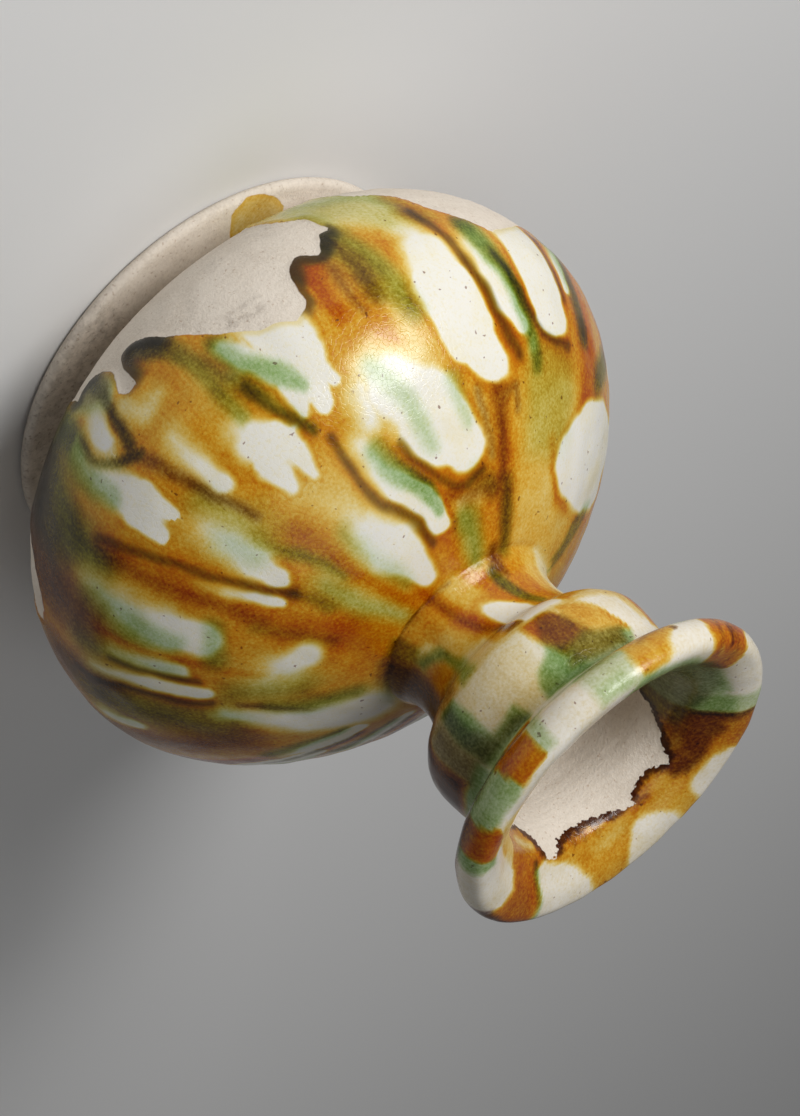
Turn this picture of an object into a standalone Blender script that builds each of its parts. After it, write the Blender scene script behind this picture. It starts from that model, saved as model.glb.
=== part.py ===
"""Sancai vase: one wheel-thrown piece, hollow, standing on its low splayed foot.

Metres, +Z up. The origin is the middle of the foot's resting plane and Z is the
potter's axis. One closed profile of the wall is turned once around that axis: up
the outside from the foot to the lip, then down the inside to the floor.
"""

import math

import bmesh
import bpy

# Driving sizes, in metres. Radii are measured from the axis, and a rise from the
# station below it, so a change of one size carries all that stands on it.

FOOT_RADIUS = 0.0617
FOOT_EDGE_ROUNDING = 0.0024
FOOT_EDGE_HEIGHT = 0.0040
FOOT_EDGE_BEVEL = 0.0017
FOOT_HEIGHT = 0.0084
FOOT_RING_WIDTH = 0.0155
RECESS_DEPTH = 0.0025
WAIST_RADIUS = 0.0470

BELLY_RADIUS = 0.0825
EQUATOR_HEIGHT = 0.0528
DOME_RISE = 0.0583

NECK_RADIUS = 0.0224
NECK_SPREAD = 0.0033
NECK_RISE = 0.0095
GROOVE_WIDTH = 0.0014
GROOVE_DEPTH = 0.0005
NECK_FLARE = 0.0024
NECK_FLARE_RISE = 0.0083

BULGE_RADIUS = 0.0333
BULGE_RISE = 0.0110
MOUTH_WAIST_INSET = 0.0020
MOUTH_WAIST_RISE = 0.0134

LIP_RADIUS = 0.0466
LIP_RISE = 0.0119
LIP_CREST_INSET = 0.0032
LIP_CREST_RISE = 0.0050
DISH_EDGE_INSET = 0.0016
DISH_DEPTH = 0.0071

BELLY_WALL = 0.0055
NECK_WALL = 0.0055
MOUTH_WALL = 0.0045
FLOOR_THICKNESS = 0.0065
INNER_SHOULDER_ROUNDING = 0.0025

# The belly's curve: 2 is a true ellipse, more is fuller and less is more pointed.
# Below BELLY_JOIN, a share of the belly's radius, it tucks in to the waist.
LOWER_FULLNESS = 2.43
UPPER_FULLNESS = 1.77
BELLY_JOIN = 0.72

# Directions of the profile, in degrees, as it runs up the outside and down the inside.
OUT = 0.0
UP = 90.0
IN = 180.0
DOWN = 270.0
FOOT_FLANK_SLOPE = 14.0
WAIST_LOWER_LEAN = 22.0
WAIST_UPPER_LEAN = 70.0
NECK_BASE_LEAN = 38.0
COLLAR_LOWER_LEAN = 28.0
COLLAR_UPPER_LEAN = 60.0
MOUTH_WAIST_LEAN = 18.0
LIP_UNDER_LEAN = 42.0
LIP_EDGE_LEAN = 6.0
DISH_SLOPE = 31.0
THROAT_LEAN = 25.0

# Fineness of the faceted solid. A curve's steps keep within both limits: how far a
# step's straight line may leave the curve, and how many degrees it may turn.
SEGMENTS = 48
CHORD_ERROR = 0.0001
MOST_TURN = 24.0
FEWEST_STEPS = 3
LOWER_RINGS = 8
UPPER_RINGS = 17
INNER_UPPER_RINGS = 9
INNER_LOWER_RINGS = 8
WELD_DISTANCE = 0.00001
SHARP_ANGLE = 50.0

GLAZE_LINE = 0.026
GLAZE_COLOUR = (0.56, 0.36, 0.13, 1.0)
GLAZE_ROUGHNESS = 0.28
GLAZE_COAT = 0.5
CLAY_COLOUR = (0.70, 0.64, 0.56, 1.0)
CLAY_ROUGHNESS = 0.75


def superellipse(radius, rise, fullness, from_share, to_share, steps):
    """Points of a quarter superellipse centred on the equator, between two shares of its radius."""
    start = math.acos(from_share ** (fullness / 2))
    end = math.acos(to_share ** (fullness / 2))
    points = []
    for step in range(steps + 1):
        angle = start + (end - start) * step / steps
        across = math.cos(angle) ** (2 / fullness)
        up = math.sin(angle) ** (2 / fullness)
        points.append((radius * across, EQUATOR_HEIGHT + rise * up))
    return points


def direction(first, second):
    """Direction from one profile point to the next, in degrees from 0 to 360."""
    return math.degrees(math.atan2(second[1] - first[1], second[0] - first[0])) % 360


def toward(point, degrees, distance):
    """The point at a distance in a direction."""
    angle = math.radians(degrees)
    return (point[0] + distance * math.cos(angle), point[1] + distance * math.sin(angle))


def sweep(start, leave, end, arrive, pull=0.39):
    """Smooth curve between two stations, without its start, from the directions it leaves and arrives in."""
    reach = pull * math.dist(start, end)
    corners = (start, toward(start, leave, reach), toward(end, arrive, -reach), end)
    straight = direction(start, end)
    turn = abs(leave - straight) + abs(arrive - straight)
    by_error = math.sqrt(math.dist(start, end) * math.radians(turn) / (8 * CHORD_ERROR))
    steps = max(FEWEST_STEPS, round(by_error), math.ceil(turn / MOST_TURN))
    points = []
    for step in range(1, steps + 1):
        t = step / steps
        s = 1 - t
        weights = (s**3, 3 * s * s * t, 3 * s * t * t, t**3)
        points.append(tuple(sum(w * c[axis] for w, c in zip(weights, corners)) for axis in (0, 1)))
    return points


def underside():
    """The shallow recess and the flat ring that the vase stands on."""
    ring_outer = FOOT_RADIUS - FOOT_EDGE_ROUNDING
    ring_inner = ring_outer - FOOT_RING_WIDTH
    return [
        (0.0, RECESS_DEPTH),
        (ring_inner - RECESS_DEPTH, RECESS_DEPTH),
        (ring_inner, 0.0),
        (ring_outer, 0.0),
    ]


def foot():
    """The rounded edge and the sloping flank of the splayed foot, up to the waist."""
    ring_outer = (FOOT_RADIUS - FOOT_EDGE_ROUNDING, 0.0)
    widest = (FOOT_RADIUS, FOOT_EDGE_ROUNDING)
    edge_top = (FOOT_RADIUS - FOOT_EDGE_BEVEL, FOOT_EDGE_HEIGHT)
    waist = (WAIST_RADIUS, FOOT_HEIGHT)
    points = sweep(ring_outer, OUT, widest, UP)
    points += sweep(widest, UP, edge_top, IN - FOOT_FLANK_SLOPE)
    points += sweep(edge_top, IN - FOOT_FLANK_SLOPE, waist, UP + WAIST_LOWER_LEAN)
    return points


def belly():
    """The globular belly, from the waist to the groove around the neck's base."""
    lower = superellipse(
        BELLY_RADIUS, -EQUATOR_HEIGHT, LOWER_FULLNESS, BELLY_JOIN, 1.0, LOWER_RINGS
    )
    top = (NECK_RADIUS + NECK_SPREAD + GROOVE_WIDTH / 2) / BELLY_RADIUS
    upper = superellipse(BELLY_RADIUS, DOME_RISE, UPPER_FULLNESS, 1.0, top, UPPER_RINGS)
    waist = (WAIST_RADIUS, FOOT_HEIGHT)
    points = sweep(waist, UP - WAIST_UPPER_LEAN, lower[0], direction(lower[0], lower[1]))
    return points + lower[1:] + upper[1:]


def neck_base_height():
    """Height where the dome reaches the neck's base."""
    share = (NECK_RADIUS + NECK_SPREAD) / BELLY_RADIUS
    return superellipse(BELLY_RADIUS, DOME_RISE, UPPER_FULLNESS, share, share, 1)[0][1]


def station_heights():
    """Heights of the neck, bulge and mouth, each worked out from the one below."""
    neck = neck_base_height() + NECK_RISE
    collar = neck + NECK_FLARE_RISE
    bulge = collar + BULGE_RISE
    mouth_waist = bulge + MOUTH_WAIST_RISE
    lip = mouth_waist + LIP_RISE
    crest = lip + LIP_CREST_RISE
    return {
        "neck": neck,
        "collar": collar,
        "bulge": bulge,
        "mouth_waist": mouth_waist,
        "lip": lip,
        "crest": crest,
        "dish_edge": crest - DISH_DEPTH,
    }


def neck_and_mouth(height):
    """The groove, the waisted neck, the bulge under the mouth and the thick rolled lip."""
    base_radius = NECK_RADIUS + NECK_SPREAD
    base = neck_base_height()
    groove = (base_radius - GROOVE_DEPTH, base - GROOVE_DEPTH)
    neck_start = (base_radius - GROOVE_WIDTH / 2, base + GROOVE_WIDTH / 2)
    neck = (NECK_RADIUS, height["neck"])
    collar = (NECK_RADIUS + NECK_FLARE, height["collar"])
    bulge = (BULGE_RADIUS, height["bulge"])
    mouth_waist = (BULGE_RADIUS - MOUTH_WAIST_INSET, height["mouth_waist"])
    lip = (LIP_RADIUS, height["lip"])
    crest = (LIP_RADIUS - LIP_CREST_INSET, height["crest"])
    dish_edge = (mouth_waist[0] - DISH_EDGE_INSET, height["dish_edge"])
    points = [groove, neck_start]
    points += sweep(neck_start, UP + NECK_BASE_LEAN, neck, UP)
    points += sweep(neck, UP, collar, UP - COLLAR_LOWER_LEAN)
    points += sweep(collar, UP - COLLAR_UPPER_LEAN, bulge, UP)
    points += sweep(bulge, UP, mouth_waist, UP + MOUTH_WAIST_LEAN)
    points += sweep(mouth_waist, UP - LIP_UNDER_LEAN, lip, UP - LIP_EDGE_LEAN)
    points += sweep(lip, UP, crest, IN)
    points += sweep(crest, IN, dish_edge, IN + DISH_SLOPE)
    return points


def inside(height):
    """The throat, the hollow of the bulge, the neck's bore and the hollow belly down to its floor."""
    mouth_waist_radius = BULGE_RADIUS - MOUTH_WAIST_INSET
    dish_edge = (mouth_waist_radius - DISH_EDGE_INSET, height["dish_edge"])
    throat = (mouth_waist_radius - MOUTH_WALL, height["mouth_waist"])
    bulge = (BULGE_RADIUS - MOUTH_WALL, height["bulge"])
    neck = (NECK_RADIUS - NECK_WALL, height["neck"])
    radius = BELLY_RADIUS - BELLY_WALL
    rise = DOME_RISE - BELLY_WALL
    drop = EQUATOR_HEIGHT - RECESS_DEPTH - FLOOR_THICKNESS
    top = (neck[0] + INNER_SHOULDER_ROUNDING) / radius
    upper = superellipse(radius, rise, UPPER_FULLNESS, top, 1.0, INNER_UPPER_RINGS)
    lower = superellipse(radius, -drop, LOWER_FULLNESS, 1.0, 0.0, INNER_LOWER_RINGS)
    points = sweep(dish_edge, DOWN - THROAT_LEAN, throat, DOWN)
    points += sweep(throat, DOWN, bulge, DOWN)
    points += sweep(bulge, DOWN, neck, DOWN)
    points += sweep(neck, DOWN, upper[0], direction(upper[0], upper[1]))
    return points + upper[1:] + lower[1:]


def turned(name, profile):
    """The closed solid that the profile makes when it is turned once around Z."""
    work = bmesh.new()
    corners = [work.verts.new((radius, 0.0, height)) for radius, height in profile]
    edges = [work.edges.new(pair) for pair in zip(corners, corners[1:])]
    bmesh.ops.spin(
        work,
        geom=corners + edges,
        cent=(0.0, 0.0, 0.0),
        axis=(0.0, 0.0, 1.0),
        angle=2 * math.pi,
        steps=SEGMENTS,
        use_merge=True,
    )
    bmesh.ops.remove_doubles(work, verts=work.verts, dist=WELD_DISTANCE)
    bmesh.ops.recalc_face_normals(work, faces=work.faces)
    mesh = bpy.data.meshes.new(name)
    work.to_mesh(mesh)
    work.free()
    mesh.shade_smooth()
    mesh.set_sharp_from_angle(angle=math.radians(SHARP_ANGLE))
    solid = bpy.data.objects.new(name, mesh)
    bpy.context.scene.collection.objects.link(solid)
    return solid


def ceramic(name, colour, roughness, coat):
    """Fired clay, or the glaze on it."""
    material = bpy.data.materials.new(name)
    material.use_nodes = True
    shader = material.node_tree.nodes["Principled BSDF"]
    shader.inputs["Base Color"].default_value = colour
    shader.inputs["Roughness"].default_value = roughness
    shader.inputs["Metallic"].default_value = 0.0
    shader.inputs["Coat Weight"].default_value = coat
    return material


def glaze(solid, dish_edge_height):
    """Glaze on the outside above the glaze line and on the lip, and bare clay elsewhere."""
    solid.data.materials.append(ceramic("sancai_glaze", GLAZE_COLOUR, GLAZE_ROUGHNESS, GLAZE_COAT))
    solid.data.materials.append(ceramic("bare_clay", CLAY_COLOUR, CLAY_ROUGHNESS, 0.0))
    for face in solid.data.polygons:
        outward = face.normal.x * face.center.x + face.normal.y * face.center.y
        hidden = outward < 0 and face.center.z < dish_edge_height
        face.material_index = 1 if hidden or face.center.z < GLAZE_LINE else 0


def main():
    for existing in list(bpy.data.objects):
        bpy.data.objects.remove(existing)
    height = station_heights()
    profile = underside() + foot() + belly() + neck_and_mouth(height) + inside(height)
    vase = turned("vase", profile)
    glaze(vase, height["dish_edge"])


main()
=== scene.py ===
"""Looks of the sancai vase: amber, green and cream lead glazes that ran down over bare clay."""

import math

import bpy
import numpy as np
from mathutils import Matrix, Vector


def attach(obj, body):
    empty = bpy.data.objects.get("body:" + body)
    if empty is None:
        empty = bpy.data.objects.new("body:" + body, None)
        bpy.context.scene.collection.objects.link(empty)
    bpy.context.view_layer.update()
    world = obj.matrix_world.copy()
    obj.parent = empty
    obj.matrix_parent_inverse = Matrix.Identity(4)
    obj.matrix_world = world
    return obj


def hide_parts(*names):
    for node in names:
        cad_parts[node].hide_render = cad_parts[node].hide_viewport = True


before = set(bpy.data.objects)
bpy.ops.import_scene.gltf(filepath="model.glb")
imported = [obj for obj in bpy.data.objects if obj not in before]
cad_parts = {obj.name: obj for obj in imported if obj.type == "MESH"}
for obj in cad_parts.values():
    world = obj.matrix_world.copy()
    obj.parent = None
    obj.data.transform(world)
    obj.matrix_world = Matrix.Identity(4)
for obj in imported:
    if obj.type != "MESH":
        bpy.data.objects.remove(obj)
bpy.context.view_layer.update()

MM = 0.001
UP = Vector((0.0, 0.0, 1.0))

# The camera: a long lens, looking down at the vase and rolled so that the neck points to the lower right.

CAMERA_DISTANCE = 0.7562
CAMERA_ELEVATION = 27.28
CAMERA_ROLL = 135.47
CAMERA_AIM_HEIGHT = 0.0799
CAMERA_LENS = 96.77
CAMERA_CLIP = 0.01
SENSOR = 36.0

# Lights: a large soft key in front of the vase on its left, a weak fill overhead and a pale room.

KEY_DIRECTION = Vector((-0.66, -0.53, 0.54))
KEY_DISTANCE = 1.0
KEY_SIZE = 0.48
KEY_POWER = 8.5
FILL_DIRECTION = Vector((0.05, -0.30, 0.95))
FILL_DISTANCE = 1.3
FILL_SIZE = 0.9
FILL_POWER = 1.9
ROOM_COLOUR = (0.86, 0.87, 0.89, 1.0)
ROOM_STRENGTH = 0.14
FLOOR_COLOUR = (0.72, 0.715, 0.705, 1.0)
FLOOR_ROUGHNESS = 0.7
FLOOR_HALF_WIDTH = 12.0

# The mesh: vertices in the widest rings, and how far apart rings lie, in mm.

RING = 424
RECESS_SPACING = 3.5
FOOT_SPACING = 1.3
BELLY_SPACING = 1.05
NECK_SPACING = 1.0
INNER_SPACING = 3.5

# The profile: the turn in degrees that makes a corner, the corner's rounding and the line's step in mm.

CORNER_TURN = 31.0
CORNER_ROUNDING = 0.45
FINE_STEP = 0.1

# Places along the wall in mm: 0 at the belly's widest ring, more toward the lip, less toward the foot.

FOOT_EDGE = -77.0
WAIST = -62.8
RECESS_EDGE = WAIST - 38.0
NECK_BASE = 83.5
COLLAR = 102.5
GROOVE = 113.0
BULGE_BASE = 113.6
MOUTH_WAIST = 130.8
ARRIS = 173.2
THROAT_END = 200.0

# The inside of the mouth that the photograph shows: its longitudes, and its places along the wall.

THROAT_SIDES = (84, 226)
THROAT_REACH = (ARRIS + 1, ARRIS + 40)

# Relief, in mm.

GLAZE_THICKNESS = 0.28
DRIP_EDGE_THICKNESS = 0.30
DRIP_EDGE_PLACE = 1.3
DRIP_EDGE_WIDTH = 1.1
SWELL_HEIGHT = 0.05
SWELL_LENGTH = 9.0
SWELL_SINK = 0.06
RING_HEIGHT = 0.05
RING_PITCH = 3.1
RING_WANDER = 40.0

# Painting, in mm: the softness of a thread's edge, and the lengths over which painted places wander.

THREAD_SOFTNESS = 1.2
BROAD_WANDER = 19.0
FINE_WANDER = 6.0

# Limits, in mm: past any distance, the greatest one that the mesh holds, the least radius for streaks.

FAR = 1000.0
GREATEST_HELD = 40.0
LEAST_REACH = 10.0

# The seed of all noise and of the hidden side's glazes.

SEED = 7


# The turned form

def cad_profile():
    """The wall's outline in the solid, as (radius, height) in mm, from under the foot to the floor inside."""
    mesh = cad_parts["vase"].data
    places = [tuple(round(c / MM, 3) for c in v.co) for v in mesh.vertices]
    on_plane = [abs(p[1]) < 0.001 and p[0] > -0.001 for p in places]
    links = {}
    for edge in mesh.edges:
        a, b = edge.vertices
        if on_plane[a] and on_plane[b] and places[a] != places[b]:
            links.setdefault(places[a], set()).add(places[b])
            links.setdefault(places[b], set()).add(places[a])
    standing = sorted(p for p in links if p[2] == 0.0)
    for a, b in zip(standing, standing[1:]):
        links[a].add(b)
        links[b].add(a)
    ends = [p for p in links if len(links[p]) == 1]
    chain = [min(ends, key=lambda p: p[2])]
    while True:
        onward = [p for p in links[chain[-1]] if p not in chain[-2:-1]]
        if not onward:
            break
        chain.append(onward[0])
    recess_centre = (0.0, chain[0][2])
    return np.array([recess_centre] + [(p[0], p[2]) for p in chain])


def smooth_stretch(points):
    """Fine points on one smooth curve through the given ones, with no corner in it."""
    if len(points) < 3:
        return straight(points)

    def between(p, q, tp, tq):
        return p * (tq - t) / (tq - tp) + q * (t - tp) / (tq - tp)

    first = 2 * points[0] - points[1]
    last = 2 * points[-1] - points[-2]
    padded = np.vstack([first, points, last])
    knots = np.concatenate([[0], np.cumsum(np.hypot(*np.diff(padded, axis=0).T) ** 0.5)])
    fine = [points[:1]]
    for i in range(1, len(padded) - 2):
        p0, p1, p2, p3 = padded[i - 1 : i + 3]
        t0, t1, t2, t3 = knots[i - 1 : i + 3]
        count = max(2, int(math.dist(p1, p2) / FINE_STEP))
        t = np.linspace(t1, t2, count + 1)[1:, None]
        middle = between(p1, p2, t1, t2)
        before = between(between(p0, p1, t0, t1), middle, t0, t2)
        after = between(middle, between(p2, p3, t2, t3), t1, t3)
        fine.append(between(before, after, t1, t2))
    return np.vstack(fine)


def straight(points):
    """Fine points on the straight line between two."""
    count = max(2, int(math.dist(points[0], points[1]) / FINE_STEP))
    share = np.linspace(0, 1, count + 1)[:, None]
    return points[0] + (points[1] - points[0]) * share


def wall_curve():
    """The whole profile as a fine line with its corners a little rounded, and the length along it."""
    points = cad_profile()
    run = np.diff(points, axis=0)
    heading = np.unwrap(np.arctan2(run[:, 1], run[:, 0]))
    turn = np.degrees(np.abs(np.diff(heading)))
    corners = [0] + [i + 1 for i in range(len(turn)) if turn[i] > CORNER_TURN] + [len(points) - 1]
    stretches = [smooth_stretch(points[a : b + 1]) for a, b in zip(corners, corners[1:])]
    curve = np.vstack([stretches[0]] + [s[1:] for s in stretches[1:]])
    along = np.concatenate([[0], np.cumsum(np.hypot(*np.diff(curve, axis=0).T))])
    even = np.arange(0, along[-1], FINE_STEP)
    curve = np.column_stack([np.interp(even, along, curve[:, axis]) for axis in (0, 1)])
    reach = int(CORNER_ROUNDING / FINE_STEP)
    kernel = np.hanning(2 * reach + 3)[1:-1]
    kernel /= kernel.sum()
    padded = np.pad(curve, ((reach, reach), (0, 0)), mode="edge")
    curve = np.column_stack([np.convolve(padded[:, axis], kernel, mode="valid") for axis in (0, 1)])
    curve[:, 1] = np.maximum(curve[:, 1], 0.0)
    return curve, even - even[curve[:, 0].argmax()]


def ring_places(along):
    """Places of the mesh's rings along the wall, each with its number of vertices."""
    bands = [
        (RECESS_EDGE, RECESS_SPACING, RING // 4),
        (WAIST, FOOT_SPACING, RING // 2),
        (NECK_BASE, BELLY_SPACING, RING),
        (THROAT_END, NECK_SPACING, RING // 2),
        (along[-1], INNER_SPACING, RING // 4),
    ]
    places = []
    start = along[0]
    for end, spacing, count in bands:
        steps = max(1, round((end - start) / spacing))
        places += [(start + (end - start) * i / steps, count) for i in range(steps)]
        start = end
    return places[1:]


class Skin:
    """The vase's surface: its vertices, where each lies along and around the wall, and its faces."""

    def __init__(self):
        curve, along = wall_curve()
        rings = ring_places(along)
        radius = np.interp([place for place, _ in rings], along, curve[:, 0])
        height = np.interp([place for place, _ in rings], along, curve[:, 1])
        tangent = np.gradient(curve, axis=0)
        tangent /= np.hypot(*tangent.T)[:, None]
        self.starts = []
        columns = []
        for (place, count), r, z in zip(rings, radius, height):
            self.starts.append(sum(len(c) for c in columns))
            around = np.arange(count) * 360.0 / count - 180.0
            columns.append(np.column_stack([around, *np.full((count, 3), (place, r, z)).T]))
        self.counts = [count for _, count in rings]
        self.longitude, self.along, self.radius, self.height = np.vstack(columns).T
        self.across = self.radius * math.pi / 180.0
        out = np.interp(self.along, along, tangent[:, 1])
        rise = -np.interp(self.along, along, tangent[:, 0])
        self.normal = self.placed(out, rise)
        self.points = self.placed(self.radius, self.height)
        self.under = np.array([[0.0, 0.0, curve[0, 1]]])
        self.floor = np.array([[0.0, 0.0, curve[-1, 1]]])

    def placed(self, outward, upward):
        """Vectors in space from their share outward from the axis and upward, at each vertex."""
        turn = np.radians(self.longitude)
        return np.column_stack([outward * np.sin(turn), -outward * np.cos(turn), upward])

    def faces(self):
        """The faces between each ring and the next, and the fans at both ends."""
        made = []
        under, floor = len(self.points), len(self.points) + 1
        first, count = self.starts[0], self.counts[0]
        made += [(under, first + (i + 1) % count, first + i) for i in range(count)]
        for lower, n, upper, m in zip(self.starts, self.counts, self.starts[1:], self.counts[1:]):
            if n == m:
                made += [(lower + i, lower + (i + 1) % n, upper + (i + 1) % n, upper + i) for i in range(n)]
            elif m == 2 * n:
                for i in range(n):
                    left, right = lower + i, lower + (i + 1) % n
                    a, b, c = upper + 2 * i, upper + 2 * i + 1, upper + (2 * i + 2) % m
                    made += [(left, b, a), (left, right, b), (right, c, b)]
            else:
                for i in range(m):
                    left, right = upper + i, upper + (i + 1) % m
                    a, b, c = lower + 2 * i, lower + 2 * i + 1, lower + (2 * i + 2) % n
                    made += [(a, b, left), (b, right, left), (b, c, right)]
        last, count = self.starts[-1], self.counts[-1]
        made += [(floor, last + i, last + (i + 1) % count) for i in range(count)]
        return made


# Noise and painting

def waves(points, wavelength, seed, count=26):
    """Smooth noise between about -1 and 1 at points in space, with lumps about as long as the wavelength."""
    random = np.random.default_rng(SEED * 1000 + seed)
    total = np.zeros(len(points))
    for _ in range(count):
        direction = random.normal(size=3)
        direction /= np.linalg.norm(direction)
        pitch = 2 * math.pi / (wavelength * random.uniform(0.7, 1.5))
        total += np.sin(points @ direction * pitch + random.uniform(0, 2 * math.pi))
    return total / math.sqrt(count / 2)


def smoothstep(value, low, high):
    share = np.clip((value - low) / (high - low), 0.0, 1.0)
    return share * share * (3 - 2 * share)


def wrapped(angle):
    """An angle in degrees brought between -180 and 180."""
    return (angle + 180.0) % 360.0 - 180.0


def closed(corners):
    """An outline that ends where it starts."""
    return [*corners, corners[0]]


def girdling(corners):
    """An outline that goes once around the vase."""
    return [*corners, (corners[0][0] + 360.0, corners[0][1])]


def to_stretch(paint, start, end):
    """Where on a straight stretch each vertex's nearest point lies, from 0 to 1, and how far off in mm."""
    x = wrapped(start[0] - paint.longitude) * paint.across
    y = start[1] - paint.along
    dx = (end[0] - start[0]) * paint.across
    dy = end[1] - start[1]
    share = np.clip(-(x * dx + y * dy) / (dx * dx + dy * dy + 1e-9), 0.0, 1.0)
    return share, np.hypot(x + share * dx, y + share * dy)


def signed_distance(paint, outlines):
    """Distance in mm to the nearest of the outlines, more than 0 inside them."""
    nearest = np.full(len(paint.along), FAR)
    crossings = np.zeros(len(paint.along), int)
    for outline in outlines:
        for start, end in zip(outline, outline[1:]):
            nearest = np.minimum(nearest, to_stretch(paint, start, end)[1])
            (left, s0), (right, s1) = sorted((start, end))
            if right > left:
                past = (paint.longitude - left) % 360.0
                level = s0 + (s1 - s0) * past / (right - left)
                crossings += (past < right - left) & (level < paint.along)
    return np.where(crossings % 2 == 1, nearest, -nearest)


class Paint:
    """What is laid on the surface. Longitudes are in degrees, 0 facing the photographer's side and more
    toward +X; lengths along the wall, radii and softness are in mm."""

    def __init__(self, skin):
        self.skin = skin
        self.longitude = skin.longitude
        self.along = skin.along
        self.across = skin.across
        zero = np.zeros(len(skin.along))
        self.laid = {name: zero.copy() for name in ("amber", "green", "brown", "grime", "crust", "ragged")}
        self.white = zero - FAR
        self.white_soft = zero + 1.0
        self.line = zero - FAR

    def warp(self):
        """Bends the places a little, so that no edge drawn on them is ruled."""
        points = self.skin.points
        sideways = 0.45 * waves(points, BROAD_WANDER, 1) + 0.16 * waves(points, FINE_WANDER, 2)
        lengthways = 0.5 * waves(points, BROAD_WANDER, 3) + 0.16 * waves(points, FINE_WANDER, 4)
        calm = smoothstep(self.skin.radius, 12.0, 60.0) * 0.6 + 0.4
        self.longitude = self.skin.longitude + sideways * calm / np.maximum(self.across, 0.2)
        self.along = self.skin.along + lengthways * calm

    def depth(self, path):
        """How deep each vertex lies inside a stroke, and the stroke's softness there.

        The path holds (longitude, along, radius, softness) at each bend. A bend may leave out the
        softness, or the radius too, where they stay as they were."""
        bends = [path[0]]
        for bend in path[1:]:
            bends.append((*bend, *bends[-1][len(bend) :]))
        best = np.full(len(self.along), -FAR)
        soft = np.ones(len(self.along))
        for start, end in zip(bends, bends[1:]):
            share, distance = to_stretch(self, start, end)
            softness = start[3] + (end[3] - start[3]) * share
            inside = start[2] + (end[2] - start[2]) * share - distance
            nearer = inside / softness > best / soft
            best = np.where(nearer, inside, best)
            soft = np.where(nearer, softness, soft)
        return best, soft

    def splash(self, *path):
        """A tongue of cream glaze."""
        self.whiten(*self.depth(path))

    def pool(self, soft, *corners):
        """Cream glaze inside a closed outline of (longitude, along)."""
        self.whiten(signed_distance(self, [closed(corners)]), np.full(len(self.along), soft))

    def whiten(self, inside, soft):
        better = inside / soft > self.white / self.white_soft
        self.white = np.where(better, inside, self.white)
        self.white_soft = np.where(better, soft, self.white_soft)

    def thread(self, width, *path):
        """A thin dark line where two runs meet."""
        inside, soft = self.depth([(lon, s, width / 2, THREAD_SOFTNESS) for lon, s in path])
        self.line = np.maximum(self.line, inside / soft)

    def run(self, *path, **amounts):
        """A run of colour along a path."""
        inside, soft = self.depth(path)
        self.lay(smoothstep(inside / soft, -1.0, 1.0), **amounts)

    def field(self, soft, *corners, **amounts):
        """Colour inside a closed outline of (longitude, along)."""
        self.lay(smoothstep(signed_distance(self, [closed(corners)]), -soft, soft), **amounts)

    def patch(self, lon0, lon1, s0, s1, soft, **amounts):
        """Colour between two longitudes and two places along the wall."""
        middle, half = (lon0 + lon1) / 2, (lon1 - lon0) / 2
        sideways = (half - np.abs(wrapped(self.longitude - middle))) * self.across
        lengthways = (s1 - s0) / 2 - np.abs(self.along - (s0 + s1) / 2)
        self.lay(smoothstep(sideways, -soft, soft) * smoothstep(lengthways, -soft, soft), **amounts)

    def lay(self, weight, **amounts):
        """Brings each amount to its new value where the weight is 1, and part of the way where it is less."""
        for name, amount in amounts.items():
            self.laid[name] += (amount - self.laid[name]) * weight


# The glaze's edges

def front_glaze_edge():
    """The lower edge of the glaze on the photographed side, from left to right."""
    left = [(-95, -14), (-88, -8), (-82, -7), (-75, -4), (-69, -1), (-61, 2), (-55, -5), (-52, -9)]
    left += [(-49, -17), (-46, -21), (-43, -24), (-42.5, -30)]
    run_to_foot = [(-43, -45), (-45, -63), (-48, -71.5), (-44, -75.5), (-36, -78.5), (-30.5, -76)]
    run_to_foot += [(-29, -69), (-28.5, -62), (-27, -45), (-26.5, -38), (-29, -26), (-31.5, -22)]
    lobes = [(-32.8, -12.4), (-30, -11.7), (-28.5, -9), (-27.3, -7), (-26.3, -6), (-25.2, -7), (-24, -8.7)]
    lobes += [(-22.7, -9.4), (-21.3, -9), (-20.3, -7.7), (-19.7, -5), (-19, -1), (-18.4, 2.5), (-17.5, 4.5)]
    lobes += [(-15, 6), (-10, 2), (-7, -2.5), (-4, -7), (-1.8, -9.5), (0, -13), (2, -16), (3.3, -19.5)]
    lobes += [(5, -22.5), (6.7, -24.9), (8.4, -25.6), (10, -25), (11.2, -23), (11.7, -20), (11.1, -15.5)]
    lobes += [(11, -12.3), (13.2, -12.4), (14.6, -14.5), (14, -18), (13.4, -21), (13.7, -24), (14.8, -27.5)]
    lobes += [(16.3, -30.2), (18.3, -31.8), (20.6, -31.9), (22.8, -30)]
    right = [(25, -36), (29, -45), (34, -49), (42, -46), (48, -49), (51.5, -38), (53.5, -21)]
    right += [(57, -14), (61, -10), (65, -13), (69, -20), (72, -31), (76, -38), (81, -30), (87, -36)]
    return left + run_to_foot + lobes + right


def hidden_glaze_edge():
    """The lower edge on the far side: runs of uneven length with rounded tips."""
    random = np.random.default_rng(SEED)
    points = []
    longitude = 93.0
    while longitude < 252.0:
        width = random.uniform(6.5, 12.0)
        valley = random.uniform(-16.0, 0.0)
        tip = valley - random.uniform(5.0, 24.0)
        shape = [(0.0, 0.0), (0.09, 0.08), (0.18, 0.42), (0.27, 0.84), (0.38, 1.0), (0.52, 0.98), (0.65, 0.8)]
        shape += [(0.76, 0.46), (0.88, 0.12)]
        points += [(longitude + x * width, valley + (tip - valley) * y) for x, y in shape]
        longitude += width
    points.append((260.0, -18.0))
    return points


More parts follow.
